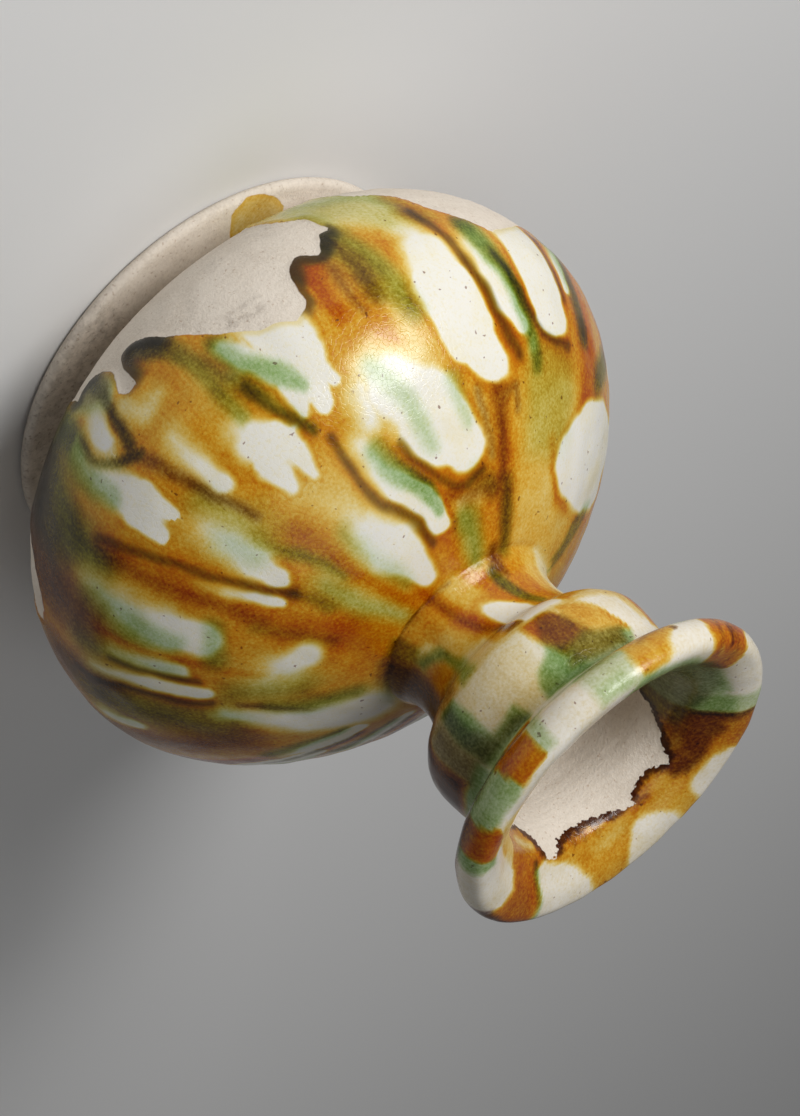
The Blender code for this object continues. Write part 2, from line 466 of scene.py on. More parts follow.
def throat_glaze_edge():
    """Where the glaze stops inside the mouth: ragged, short on most of the rim, deep on one side."""
    depths = [(88, 9), (98, 10), (108, 10.2), (112, 8), (117, 6), (119.5, 3), (121.5, 0), (125, -0.6)]
    depths += [(127.5, 0.4), (130, 3.3), (135, 4.8), (142, 5.3), (150, 5.3), (158, 4.8), (165, 3.2)]
    depths += [(170, 1.3), (173, 0), (176, 0), (180, 2.8), (187, 4.1), (195, 3.8), (200, 2.3), (203.5, 1)]
    depths += [(206.5, 1.8), (210, 4.8), (214, 6.8), (218, 8.8), (221, 11), (223, 13), (224, 19), (231, 24)]
    depths += [(240, 21), (252, 27), (264, 22), (275, 25), (288, 19), (302, 23), (318, 17), (334, 20)]
    depths += [(350, 14), (364, 17), (378, 12), (394, 15), (410, 10), (424, 13), (438, 9)]
    return [(longitude, ARRIS + depth) for longitude, depth in depths]


# The glazes

def paint_grounds(paint):
    """The broad colour of each zone: amber over the belly and neck, cream on the bulge and the lip."""
    paint.lay(np.ones(len(paint.along)), amber=0.85)
    paint.lay(smoothstep(paint.along, COLLAR + 6, COLLAR + 12), amber=0.04, brown=0.04)


def paint_belly_bands(paint):
    """Soft fields of amber, orange and yellow between the splashes of the belly's photographed side."""
    run = paint.run
    paint.patch(-100, -53, 40, 84, 4, amber=0.48)
    paint.patch(-76, -56, 33, 60, 5, green=0.22)
    run((-86, 44, 6, 4), (-84, 34), (-82, 22), (-83, 8, 5, 5), amber=1.45)
    run((-92, 71.5, 1, 2), (-80, 70), (-72, 63), (-69, 56), amber=1.1)
    run((-47, 84, 2, 3), (-46, 60, 3), (-45, 50), amber=1.25)
    run((-48, 84, 1, 3), (-47, 68, 2), brown=0.15)
    run((-49, 84, 1.6, 2), (-47.5, 70), (-47, 65, 1, 3), green=0.6)
    run((-55, 50, 2, 3), (-54, 42), amber=0.65)
    run((-43, 82, 0.8, 2), (-44.5, 66, 1.2), (-46.5, 56, 1.6), (-46.5, 43, 1.6, 2.5), amber=1.35)
    run((-45.5, 64, 0.8, 2), (-46.5, 56, 1.4), (-47, 43, 1.6, 2.5), brown=0.32)
    run((-52.5, 48, 0.6, 1.5), (-52, 42, 0.8), (-48, 45, 0.8, 2), brown=0.3)
    run((-38, 82, 4, 4), (-36, 66), amber=0.95)
    run((-40, 66, 2, 3), (-31, 64), (-25, 61, 1), brown=0.24)
    run((-41.5, 58, 1, 2), (-41, 42), amber=0.45)
    run((-42, 58, 0.8, 2), (-41.5, 42, 1), brown=0.3)
    run((-35, 67, 1.6, 2.5), (-32, 62), amber=0.55)
    run((-42, 66, 2, 2.5), (-35, 60), green=0.25)
    run((-29, 84, 3, 3), (-27, 64), amber=0.42)
    run((-28, 82, 2, 3), (-28.5, 70, 3), green=0.6)
    run((-29, 61.5, 1, 2), (-22.5, 62, 2.4, 2.5), (-19, 72, 1.6), (-17, 83), amber=1.35)
    run((-35, 40, 2, 3), (-34, 18, 3), (-33, -8), amber=0.55)
    run((-34, 18, 2, 3), (-31, -8, 4), green=0.5)
    run((-29.5, 12, 1, 2.5), (-29.5, -8, 1.6), brown=0.22)
    run((-31, 26, 3, 3), (-30.5, 13, 2.4), amber=0.3)
    run((-22, 24, 3, 3), (-22, 14), amber=0.65)
    run((-22, 10, 1.6, 2.5), (-21.8, 4, 2.4), (-22, -6, 3.4), amber=1.9)
    run((-29.5, 10, 2, 2.5), (-29, -8, 3), amber=0.85)
    run((-30, 10, 2, 2.5), (-29, -6, 3), green=0.45)
    run((-26.2, 12, 0.6, 1.6), (-25.8, 4, 1), (-25.5, -4, 1.2), brown=0.28)
    paint.patch(-8, 8, 32, 62, 5, amber=0.45)
    run((44, 84, 5, 5), (44, 68, 6), (41, 54, 4, 4), amber=1.15)
    run((6.6, 74, 1.6, 2.5), (7, 52, 1.6, 3), amber=0.42)
    run((11.5, 84, 1.6, 2), (12.5, 62, 2), (12.5, 40, 1, 4), amber=1.35)
    run((12.5, 60, 1, 3), (12.5, 44, 1.4), (11.5, 30, 1), green=0.14)
    run((21, 38, 3, 4), (22, 27, 4), amber=0.42)
    run((21, 38, 3, 4), (22, 30), green=0.34)
    run((56, 26, 3, 4), (57, 8, 3, 5), amber=0.5)
    run((55.5, 30, 2, 4), (57, 6, 3, 5), green=0.5)
    run((20, 82, 2.6, 3), (20, 64, 3.6), (20, 56, 3, 4), amber=0.32)
    run((20, 82, 2, 3), (20.5, 63, 3), (20, 56, 3, 4), green=0.30)
    run((14.8, 58, 0.8, 1.6), (16, 47, 1.4, 2), (17.5, 36, 1, 2.5), green=0.65)
    run((25, 62, 1, 2.5), (25, 50), amber=1.0)
    run((25, 61, 1, 2.5), (25.5, 50), green=0.5)
    run((33, 84, 4, 4), (35, 66, 6), (36, 52, 4), amber=1.5)
    run((34.5, 58, 2, 3), (34.5, 32, 2.6, 2.5), (36, 6, 2, 3), amber=1.6)
    run((35, 46, 1, 2.5), (35, 32, 1.4), (37, 4, 1, 3), brown=0.15)
    run((37.5, 66, 1.4, 2.5), (37.5, 46), green=0.25)
    run((5, 12, 5, 5), (6, -6, 6, 4), amber=0.75)
    run((15, 34, 3, 4), (16, 20, 4), amber=0.55)
    run((16, 38, 2, 4), (18, 20, 3), green=0.3)
    run((56, 66, 6, 6), (60, 50), amber=0.8)
    run((58, 62, 4, 5), (61, 46), green=0.4)
    run((68, 76, 2, 3), (69, 64, 3), (67, 54, 2), green=0.7)
    run((76, 44, 4, 6), (80, 30, 6), amber=1.2)
    # This run and the four below darken the belly's lower right: partly the glaze's own green and brown,
    # partly painted shade.
    run((84, 44, 5, 8), (86, 24, 6), (88, 0, 8), brown=0.35)
    run((74, 40, 6, 8), (70, 10, 8), green=0.7)
    run((38, 6, 3, 5), (40, -14, 10, 6), (38, -44, 14), green=0.9)
    run((52, 2, 7, 8), (50, -16, 12, 7), (40, -42, 14, 6), brown=0.6)
    run((66, 12, 4, 8), (70, -6, 7, 9), brown=0.5)
    run((-1, 12, 1, 1.6), (0.5, 0, 1.4, 1.8), (3, -12, 2, 2), green=0.5)
    run((-1.6, 12, 0.8, 1.6), (-0.4, 0, 1.2, 1.8), (2, -10, 1.6, 2), brown=0.14)
    run((4, -16, 3, 2), (7, -21, 4), amber=0.5)
    run((3, -14, 2.6, 2), (7, -21, 4), green=0.55)
    run((3, -14, 2, 2), (7.5, -21, 4), brown=0.42)
    run((8.5, -14, 1.4, 1.6), (9, -18, 1), amber=1.2, green=0.2)
    run((10, -6, 2.4, 2.5), (14, -6, 2.8), (15, -11, 2.4, 2), amber=0.25)
    run((21.5, -7, 2.6, 1.5), (21.5, -18, 4, 2), amber=0.3)
    run((17, -20, 5, 2.5), (20, -28, 7), amber=0.22)
    run((17, -20, 4, 2.5), (20, -28, 6), green=0.34)
    run((16.5, -22, 3, 2.5), (19, -28, 5), brown=0.2)
    run((27, -14, 2, 2.5), (29, -30, 4, 3), (34, -42, 5), amber=0.3)
    run((27, -12, 2, 2.5), (29, -30, 4, 3), (34, -42, 5), green=0.85)
    run((28, -22, 2, 2.5), (31, -34, 4, 3), brown=0.35)
    run((-42, -6, 5, 4), (-38, -22, 12, 3), (-36, -50, 13), (-38, -80), amber=0.24)
    run((-42, -8, 4, 4), (-38, -26, 11), (-36, -50, 12, 3), green=0.16)
    run((-37, -66, 9, 3), (-38, -78, 12), amber=0.36, brown=0.06)
    run((-48, -6, 3, 3), (-44, -20), (-36, -30, 4, 4), green=0.4)
    run((-33.5, -10, 1.6, 2), (-32, -24, 2, 3), green=0.3)


def paint_belly_splashes(paint):
    """Cream tongues on the belly's photographed side, left to right: crisp toward the neck, soft below."""
    splash = paint.splash
    splash((-87.5, 57.3, 11.8, 0.9), (-94, 54.5, 15.2, 1), (-105, 50, 13, 1.2), (-111, 43, 8, 3),
           (-114, 34, 4, 4))
    splash((-77.5, 16.5, 1.8, 0.8), (-78.3, 10, 3, 1.2), (-79.5, 4, 3, 2.5))
    splash((-68.3, 25, 7.0, 0.8), (-67.5, 12, 8.6, 0.9), (-67, 0, 9.5, 1.6), (-67, -8, 9, 3))
    splash((-57.7, 28, 2.6, 0.8), (-55, 22, 4, 1.1), (-53.3, 13, 3.6, 2), (-52, 5, 3.2, 4))
    splash((-46.8, 36, 5.6, 0.8), (-43.2, 26.5, 9.3), (-42.3, 14, 9.2, 1.2), (-42.6, 6, 7.6, 2.6),
           (-43, 0, 4.4, 5))
    splash((-33.5, 52.5, 6.2, 0.9), (-29.5, 46, 9, 1), (-27, 39, 10, 1.6), (-23, 32, 9.5, 3.5),
           (-21, 26, 6, 6))
    splash((-15, 35, 4, 4), (-17, 27, 4, 5))
    splash((-17.3, 67.6, 3.3, 0.7), (-15.4, 61, 4.1, 0.8), (-12.8, 53, 4.1, 1.1), (-11.5, 45, 3.8, 2.5),
           (-11, 38, 3.4, 4))
    splash((-3.4, 77.5, 2.6, 0.8), (-2.2, 70, 4.6, 1.1), (-0.5, 63, 6.4, 1.8), (0.5, 56, 5.4, 4),
           (1, 51, 3, 6))
    splash((1, 36, 1.3, 0.8), (0.3, 28, 3.4, 1))
    splash((5.3, 34, 1.5, 0.8), (5, 26, 4, 1))
    splash((-2.5, 24, 1.2, 0.8), (1, 24, 5, 1), (3.5, 21, 5.4, 2), (4, 16, 3, 4))
    splash((12.8, 20.5, 3.1, 1.2), (13, 12, 3.2, 3.5), (13, 4, 2, 5))
    splash((-10, 24.5, 2.6, 0.8), (-10.5, 15, 5, 1))
    splash((-14, 21.5, 1.8, 0.8), (-13, 12, 4, 1.2))
    splash((-6, 23, 1.6, 0.8), (-8, 14, 4, 1))
    splash((-12, 12, 6.4, 1), (-12, 2, 7.5, 1.5), (-9, -5, 5, 3))
    splash((-7, 11, 4, 1.2), (-5, 5, 3.6, 1.4), (-3.6, -2, 2.6, 2))
    splash((23.3, 45.8, 2.8, 0.8), (22.6, 39, 5, 2), (21.5, 31, 5, 5), (21.5, 24, 3, 8))
    splash((29.2, 48.6, 1.4, 0.7), (30.2, 42, 1.8, 1.1), (31.4, 36, 1.4, 2.4), (32.2, 30, 0.6, 4))
    splash((23, 16.5, 2, 0.8), (24, 8, 4.8, 1))
    splash((27.5, 16, 2.6, 0.8), (26.5, 7, 4.8, 1))
    splash((25.5, 4, 5.6, 1.4), (26.5, -5, 4.4, 4), (28, -15, 2.4, 7))
    splash((45.5, 35, 6, 1.6), (45, 27, 7, 2.5), (44.5, 15, 6, 5), (43.5, 6, 3, 7))
    splash((44.5, 60.5, 5.2, 2.4), (49, 57, 6, 5), (54, 53, 4, 8))
    splash((55, 32, 2.1, 1.2), (55, 26, 2.8, 2.5), (55.5, 15, 2, 6))
    splash((61, 38.5, 2.4, 1), (61, 25, 3, 1.6), (61.5, 10, 2.4, 4))
    splash((69, 43, 3, 3), (74, 54, 5, 3.5), (80, 65, 8, 4), (86, 77, 9))
    splash((78.5, 17, 3, 1.2), (78.5, 10, 4, 3))
    splash((21.2, -9, 2.2, 1.1), (21.6, -14, 3.2, 1.6), (21.3, -19, 2.6, 3.5))
    splash((21.3, -4.3, 0.5, 0.8), (21.8, -6, 0.4))


def paint_belly_runs(paint):
    """Green runs and dark threads beside the splashes."""
    run, thread = paint.run, paint.thread
    run((-81.5, 27, 2.4, 2.5), (-80.5, 14, 2.6), (-81, 2, 3.4, 3), green=1.1)
    run((-92, 34, 4, 3), (-97, 26), green=0.7)
    run((-60, 34, 2, 2), (-59, 24, 2, 1.6), (-57, 12, 2.6, 2), (-55, 2, 3.4, 3), amber=0.3)
    run((-61, 38, 2, 2), (-60, 29, 2.2, 1.6), (-58, 18, 2.4), (-56, 10, 3, 2), (-55, 0, 3.4, 2.5),
        green=1.05)
    run((-36, 48, 1.4, 2), (-35, 36, 1.8, 2.5), green=0.4)
    run((-25, 48, 1.6, 1.8), (-23.5, 35, 2.6, 2.2), (-21, 25, 2, 3), green=0.5)
    run((-18.4, 64, 1.4, 1), (-16.9, 56, 2.8, 1.3), (-14.8, 49, 2.8, 1.8), (-13, 42, 2, 3), green=1.0)
    run((4, 74, 1.6, 2.5), (5, 62, 2, 3), (6, 52, 1.4, 4), green=0.35)
    run((-9, 18, 1.4, 1.2), (-6.8, 12, 2.4, 1.5), (-3.8, 5, 2.4, 1.8), (-3, -4, 2, 2.5), green=0.95)
    run((2, 15, 1.4, 1.5), (2, 2, 1.8, 2), (2.5, -8, 1.5), green=0.6)
    run((48, 28, 3, 2.5), (47, 18, 5, 3), (46, 8, 4, 5), green=0.7)
    run((27.5, 0, 2.5, 2), (28.5, -10, 3.5, 3), (29, -22, 4, 4), green=0.7)
    run((41, 37, 2, 2.5), (50, 40, 3), green=0.6)
    thread(1.4, (-74, 32), (-69, 33.4), (-64.5, 31.5), (-61.5, 25), (-58.5, 16), (-56.3, 9))
    thread(1.0, (-74.6, 20), (-74.2, 10), (-74.8, 0))
    thread(1.8, (-54.5, 35), (-52, 24), (-50.3, 15), (-49.2, 8), (-48.2, 0), (-48, -9))
    thread(0.7, (-38, 60.5), (-33, 61.5), (-28, 60.5), (-23, 56.5), (-20, 49), (-18.5, 43))
    thread(1.3, (-12, 71.5), (-9.5, 63), (-7.3, 55), (-5.7, 48), (-6, 40), (-7, 32))
    run((-5.2, 28, 1, 1.6), (-3, 18, 1.6), (-1.6, 6, 1.8, 2), green=0.45)
    run((-5.2, 28, 1, 1.6), (-3, 18, 1.4), (-1.6, 6, 1.6, 2), amber=0.35)
    thread(1.1, (-5, 28), (-2.6, 18), (-1.6, 10))
    thread(1.2, (25.8, 51), (27.5, 44), (29, 34), (31, 22), (33, 12), (35, 3))
    thread(1.2, (57.5, 36), (57.6, 14))
    thread(1.4, (65, 40), (65, 20), (66, 4))
    run((19, -3, 1, 1), (17.7, -8, 1.2), (17.5, -22, 1.3, 1.2), (18.6, -30, 1.6, 1.4), brown=0.4, green=0.6)
    run((19, 0, 1.2, 1), (22.6, -3), (24.8, -8, 1), (26, -18, 0.8), brown=0.4, green=0.6)
    run((53, 58, 1, 1.6), (52, 10), amber=1.4)
    run((66, 48, 1, 1.6), (69, 58), (74, 68, 1, 2), brown=0.5)
    run((13.8, 32, 1, 1.6), (16, 20, 1.4), (17.5, 6), (19.5, 0, 1.2), brown=0.4)


def paint_neck(paint):
    """The neck's amber ground with its cream, green and brown passages up to the groove under the bulge."""
    field = paint.field
    top, groove = COLLAR, GROOVE
    field(2.5, (-118, 82), (-104, 106), (-69, 106), (-71, 97), (-74, 90), (-77, 82), amber=0.15)
    field(2, (-77, 82), (-72, 92), (-69, 103), (-62, 103), (-62, 82), amber=0.55)
    field(2, (-62, 95), (-62, 104), (-46, 104), (-42, 94), (-44, 88), (-56, 90), amber=1.15)
    paint.run((-46, 102, 1.5, 1), (-42, 97), (-37.5, 92.5, 1.6), (-35, 88, 1.2, 1.5), green=0.75)
    field(0.9, (-40, 100), (-34, 97.5), (-28, 95), (-22, 92), (-20.5, 89), (-30, 87), (-34, 91), amber=1.1)
    paint.pool(0.8, (-38.5, 106), (-38, 101), (-32, 98), (-25, 95.3), (-16, 94), (-12.5, 96), (-14, 101),
               (-20, groove), (-40, groove))
    field(1.5, (-23, 95), (-13, 95), (-7, 90), (-4, 84), (-14, 82), (-20, 88), amber=0.55)
    paint.run((-12.5, 104, 1.6, 1), (-6.5, 98.5, 2.1, 1.2), (-0.5, 92.5, 2.2), (3, 86.5, 1.9),
              (5, 81, 2.2, 1.5), amber=1.5)
    paint.run((-9, 102, 0.6, 1), (-4.5, 98, 0.8, 1.1), (0.5, 92, 0.7), (3, 84, 0.8, 1.5), brown=0.22)
    field(1.5, (2, 102), (4, 96), (9, 93), (21, 94), (16, 103), amber=0.45)
    field(2, (6, 92), (14, 91.5), (24, 90), (32, 90), (36, 82), (6, 82), amber=0.95)
    field(1.2, (15, 104), (22, 104), (26, 97), (33, 95), (44, 93.5), (42, 90.5), (30, 92.5), (20, 94),
          amber=0.45)
    field(1.2, (15, 104), (21, 104), (24, 97), (31, 95), (42, 93.5), (42, 90.5), (30, 92.5), (21, 94),
          green=0.75)
    field(1, (21, 93.5), (30, 92), (37, 91), (36, 89.6), (26, 90.4), amber=0.3)
    field(1.5, (33, 90), (42, 91), (48, 87), (47, 82), (34, 82), green=0.5)
    # Brown and green on the neck's right: partly the glaze's colour, partly painted shade.
    field(3, (46, 104), (46, 92), (50, 82), (92, 82), (84, 104), brown=0.35, green=0.35)
    field(3, (28, 104), (33, 97), (46, 95), (50, 82), (92, 82), (84, 104), amber=1.2)
    paint.run((-44, 90, 0.8, 1), (-40, 86, 1.6, 1.5), (-40, 82), brown=0.35)
    paint.run((-10, 84, 0.3, 0.7), (20, 84, 0.4), (60, 84), brown=0.4)

    field(1, (-50, top), (-50, groove), (-39.5, groove), (-39.5, top), amber=0.95)
    field(1, (-15.5, top), (-16, 108), (-22, 113.5), (-10, 113.5), (-3, 112), (-3, top), amber=0.9)
    field(1, (-15, top), (-15, 108), (-20, 112), (-11, 112), (-9, 106), (-9, top), brown=0.4)
    field(1.2, (-2.5, top - 1), (-2.5, groove), (20, groove), (22, top - 1), amber=0.22)
    field(1.6, (15, top - 1), (11, groove), (19, groove), (23, top - 1), green=0.6)
    field(1.5, (21, top), (20, groove), (41, groove), (38, top), amber=0.5)
    field(1.5, (24, top), (24, groove), (41, groove), (38, top), brown=0.25)
    # Brown on the collar's right: partly the glaze's colour, partly painted shade.
    field(2, (40, top), (42, groove), (96, groove), (92, top), brown=0.4)


def paint_bulge(paint):
    """The bulge under the mouth: cream, with fields of amber, brown and green that ran down from the lip;
    some brown is partly painted shade.
    """
    field = paint.field
    base = BULGE_BASE
    field(1.2, (-88, base - 4), (-88, 126), (-79, 126), (-76, 121), (-74, 116), (-70, base),
          (-70, base - 4), amber=1.0)
    field(1.5, (-79, 124), (-73, 124), (-67, 117), (-56, 115), (-40, base), (-74, base), amber=0.35)
    field(0.9, (-58, 127.5), (-51, 123.5), (-48.5, 119), (-43, 116), (-34, 114), (-31, 122), (-38, 128),
          amber=0.6)
    paint.run((-57, 127.3, 0.3, 0.6), (-50.5, 123, 0.5, 0.7), (-49, 120.5, 0.4), amber=1.2)
    field(1.4, (-38, 126), (-33, 121), (-31, 116), (-26, base), (-15, base), (-17, 118), (-22, 126),
          amber=1.4)
    field(1.6, (-37, 126), (-32, 118), (-24, 114), (-17, 120), (-22, 126), green=0.3, brown=0.13)
    paint.run((-31.5, 121, 0.5, 0.9), (-31, 117.5, 0.4), (-28.5, 115, 0.5), brown=0.32)
    field(1.2, (-58, 128.3), (-52, 126.5), (-42, 126), (-34, 123.5), (-24, 125), (-20, 130), (-30, 134),
          (-54, 134), green=0.5)
    # This brown and the amber below darken the band under the lip: partly the glaze's colour, partly the
    # lip's painted shadow.
    field(1.8, (-52, 127), (-42, 126), (-34, 123.5), (-25, 124.5), (-21, 129), (-38, 131), (-52, 131),
          brown=0.25)
    field(1.8, (-50, 127), (-42, 126), (-34, 123.5), (-25, 124.5), (-21, 129), (-38, 131), (-50, 131),
          amber=0.5)
    field(1.2, (-27, 131), (-24, 124), (-18, 121.5), (-14, 124), (-8, 125.2), (-4, 128.5), (-2, 133),
          (-27, 134), green=0.75)
    field(1.2, (8, 133), (10, 127.5), (16, 128.5), (24, 128), (24, 120), (27, base), (37, base), (39, 122),
          (38, 133), green=0.7)
    field(1.5, (10, 132), (12, 129), (25, 128), (29, 122), (30, base), (37, base), (38, 130), brown=0.32)
    field(1.5, (28, 123), (29, base), (36, base), (36, 123), green=0.95)
    field(3, (-14, base), (-12, 124), (0, 130), (24, 130), (26, base), amber=0.13)
    field(3, (-4, base), (-4, 130), (24, 130), (26, base), brown=0.06)
    field(3, (-12, 132), (-8, 125), (4, 128), (10, 127), (24, 128), (38, 126), (38, 133), amber=0.2)
    field(2, (36, base), (36, 129), (54, 129), (54, base), amber=0.22)
    field(2, (38, base), (38, 129), (54, 129), (54, base), brown=0.3, green=0.25)
    # This amber and the brown below darken the bulge's right: partly the glaze's colour, partly painted
    # shade.
    field(1.5, (54, base - 8), (54, 128), (72, 127.5), (94, 124), (100, base - 8), amber=1.5)
    field(2, (55, base - 8), (56, 127), (72, 126.5), (92, 123), (98, base - 8), brown=0.45, green=0.3)
    field(1, (40, 128.6), (72, 128), (94, 125), (100, 134), (40, 134), green=0.6)
    for longitude in (-66, -4, 118, 196):
        paint.patch(longitude - 24, longitude + 24, base - 1.6, base + 0.4, 0.8, amber=0.3)


def paint_lip(paint):
    """Patches of amber, brown and green around the lip, on cream; the dark green run inside the mouth is
    partly painted shade.
    """
    run, field = paint.run, paint.field
    deep = ARRIS + 60
    # This green and the brown below, inside the near lip: partly the glaze's colour, partly painted shade.
    field(1.5, (-107, 166), (-95, 166.5), (-82, 167), (-70, 165.5), (-60, 163), (-45, 160), (-35, 158),
          (-27, 157), (-22, 162), (-20, deep), (-137, deep), (-137, 178), (-124, 175), (-110, 172),
          green=0.6)
    field(2, (-100, 168), (-70, 167), (-45, 162), (-22, 164), (-20, deep), (-137, deep), (-130, 178),
          brown=0.22)

    field(0.9, (-176, 150), (-172.5, 158), (-172.5, 163), (-176, 166), (-182, 168.5), (-190, 170),
          (-196, deep), (-136, deep), (-124, 175), (-124, 150), (-142.5, 150), (-142.8, 160), (-147, 164.3),
          (-157, 165.6), (-162, 164), (-165, 160), (-165, 150), amber=0.75)
    field(1.8, (-141, 150), (-141, 163), (-150, 168), (-160, 172), (-160, 176), (-124, 176), (-124, 150),
          amber=1.2)
    field(1.6, (-160, 170), (-150, 167), (-138, 166), (-129, 162), (-124, 158), (-124, 178), (-160, 178),
          brown=0.5)
    field(1.5, (-134, 150), (-138, 160), (-128, 166), (-124, 150), brown=0.12)
    run((-124.4, 150, 0.3, 0.6), (-124.4, 164, 0.4, 0.7), (-124, 174, 0.6, 0.8), brown=0.9)
    field(1.2, (-123.5, 150), (-123.5, 176), (-106, 176), (-109, 168), (-113, 162), (-113, 150), green=0.32)
    field(2, (-123.5, 164), (-123.5, 178), (-107, 178), (-110, 168), (-114, 165), green=0.65)

    field(0.8, (-84, 165.5), (-81.5, 160), (-78.5, 156), (-80, 153.5), (-86, 150.5), (-84, 145), (-72, 141),
          (-64, 144), (-62, 149), (-60, 153), (-60.5, 158), (-62.5, 163), (-66, 166.5), (-76, 168),
          amber=1.35)
    run((-67.5, 159.7, 0.5, 0.7), (-64.5, 157.7, 0.3), amber=0.3)
    run((-69.5, 157, 0.5, 0.9), (-70.5, 152.5, 0.8, 1), brown=0.6)
    run((-77, 163, 0.3, 0.8), (-73, 157, 0.4), (-74, 150), brown=0.35)
    run((-64, 161, 0.2, 0.8), (-64.5, 154, 0.4), (-68, 147), brown=0.35)
    field(1.5, (-84, 166), (-72, 164), (-62, 164), (-66, 168), (-78, 169), brown=0.35)
    field(0.9, (-52, 138), (-49, 145), (-47, 149.5), (-41, 151), (-40, 155), (-37, 156.8), (-27.5, 157),
          (-26.5, 152), (-29, 147), (-32, 138), amber=0.7)
    run((-47.2, 149.6, 0.3, 0.6), (-47.8, 148, 0.2), brown=0.7)
    run((-46, 146, 0.6, 1), (-40, 146, 0.8, 1.2), (-34, 148, 0.6), brown=0.2)
    # These three green fields leave a paler band across the lip's near face: partly the glaze's colour,
    # partly a painted highlight.
    field(1.2, (-31, 136), (-28, 148), (-26, 153), (-25, 157), (-14, 157), (-12, 150), (-14, 136),
          green=0.2)
    field(2, (-25, 158), (-22, 153.5), (-13, 154), (-13, 158), green=0.4)
    field(1.5, (-29, 140), (-28, 148.5), (-18, 147.5), (-12, 146), (-10, 140), green=0.45)
    paint.patch(-58, -50, 138, 147, 1.2, green=0.3)

    field(1.2, (3, 136), (4, 150), (5, 156), (9, 156), (9.5, 150), (11, 136), green=0.35)
    field(0.7, (9, 156.4), (20, 156.4), (21.5, 152), (25, 146), (27, 134), (10, 134), (11, 146), (9.5, 151),
          amber=1.6)
    for longitude in (12.6, 16.4, 20.4):
        run((longitude, 150, 0.2, 0.8), (longitude + 2, 140, 0.6, 1), brown=0.25)
    field(1, (21, 156), (24, 157.2), (36, 157.2), (40, 155), (42, 151), (45, 146), (46, 134), (27, 134),
          (25, 146), (21.5, 152), green=0.5)
    field(1.5, (25, 147.5), (42, 147.5), (45, 134), (27, 134), green=0.85)
    field(1.8, (26, 147), (42, 147), (45, 134), (28, 134), brown=0.28)
    field(0.8, (40, 155), (37.5, 157.5), (42, 160), (48, 161.6), (55, 161), (53.5, 157), (54, 151),
          (56, 138), (45, 136), (42, 150), amber=1.5)
    field(1.5, (43, 152), (56, 151), (58, 136), (45, 136), green=0.35)
    field(0.9, (55, 161.5), (60, 162.4), (60, 156), (60, 150), (63, 138), (56, 138), (54, 151), green=0.65)
    # Brown under the lip's roll: partly the glaze's colour, partly painted shade.
    field(2.5, (44, 134), (44, 148.5), (56, 149.5), (74, 148), (92, 152), (92, 134), brown=0.55)
    field(1.2, (36, 159), (48, 163.5), (60, 168), (70, 170.6), (84, 171.6), (92, 172), (96, deep),
          (24, deep), (24, 166), amber=0.3)
    run((39, 160, 0.3, 0.8), (48, 163.2, 0.4), (60, 167.8, 0.5), (72, 170.6), amber=0.7)
    field(0.8, (92, 146), (89, 158.5), (94, 162), (97, 166), (95, 169.5), (88, 172), (84, 175), (84, deep),
          (122, deep), (122, 175), (112, 171), (114.5, 167), (117, 162), (117, 157), (117, 148), (104, 144),
          amber=1.3)
    run((92.5, 161, 0.4, 0.8), (96.5, 166, 0.5), (94, 170, 0.6, 0.9), amber=0.8)
    field(2, (96, 158), (99, 168), (110, 168), (114, 158), brown=0.14)
    # The dark band under the red amber: partly the glaze's colour, partly painted shade under the lip's roll.
    field(1.4, (83, 153), (87, 157.6), (96, 157.4), (112, 156.6), (115, 150), (102, 142), (84, 144),
          brown=0.65)
    run((112, 172.5, 0.9, 0.9), (114.5, 167, 0.7), (118, 160, 0.5), (118, 154, 0.3), green=0.6)
    field(1, (122, 173), (133, 171.5), (140, 168.5), (146, 164), (148.5, 158), (148.5, 146), (161, 146),
          (161, 160), (163, 163), (168, 168), (176, 170.5), (184, 169.5), (192, 170), (196, deep),
          (122, deep), amber=0.8)
    # A paler oval in the amber: partly paler glaze, partly a painted highlight.
    run((152, 170, 1.6, 2.5), (165, 170.5, 1.8), amber=0.42)
    run((176, 172, 1.2, 1), (184, 171.5), amber=1.3)
    run((178, 173, 0.8, 1), (184, 172.5), brown=0.3)


def paint_throat(paint):
    """Inside the mouth: amber glaze that crawled into ragged lobes, with bare clay below it."""
    paint.patch(*THROAT_SIDES, *THROAT_REACH, 1, amber=1.0)
    paint.run((98, 178, 1.4, 1), (112, 177, 1.2), amber=0.25)
    # A paler patch in the amber: a painted highlight.
    paint.run((150, 177, 0.4, 1), (159, 175.5, 0.6, 1.2), amber=0.5)
    paint.patch(204, 226, *THROAT_REACH, 2, brown=0.3)
    paint.run((218, 178, 1.2, 1.5), (226, 180, 1.6), amber=1.4)
    paint.patch(84, 110, *THROAT_REACH, 2, brown=0.12)
    for rise in range(6):
        start, place = 203 + 2.2 * rise % 5, ARRIS - 5.5 + 2.1 * rise
        paint.run((start, place, 0.25, 0.7), (start + 11, place + 0.6, 0.6, 0.8), (234, place + 0.4, 0.3),
                  brown=0.52)
    for longitude in (131, 139, 146, 154, 163, 179, 186, 194):
        paint.run((longitude, ARRIS + 6, 0.7, 1.2), (longitude + 1.5, ARRIS + 1, 0.2), brown=0.3)


def paint_left_end(paint):
    """Just past the left outline of the photograph's view: one tongue and its green run."""
    paint.splash((-103.5, 24, 2.6, 0.8), (-104, 15, 5.4, 1), (-105, 3, 5, 3.5))
    paint.run((-108, 20, 1.6, 1.5), (-108.5, 2, 2.6, 2.5), green=0.8)
    paint.thread(1.4, (-98.5, 24), (-99, 8), (-100, -4))


def blotch(paint, random, longitude, place, width, height, **amounts):
    """A patch of irregular outline, its width in degrees and its height in mm."""
    corners = []
    for turn in np.radians(np.arange(0, 360, 40)):
        reach = random.uniform(0.65, 1.25) / 2
        corners.append((longitude + width * reach * math.cos(turn), place + height * reach * math.sin(turn)))
    paint.field(random.uniform(1.2, 3.0), *corners, **amounts)


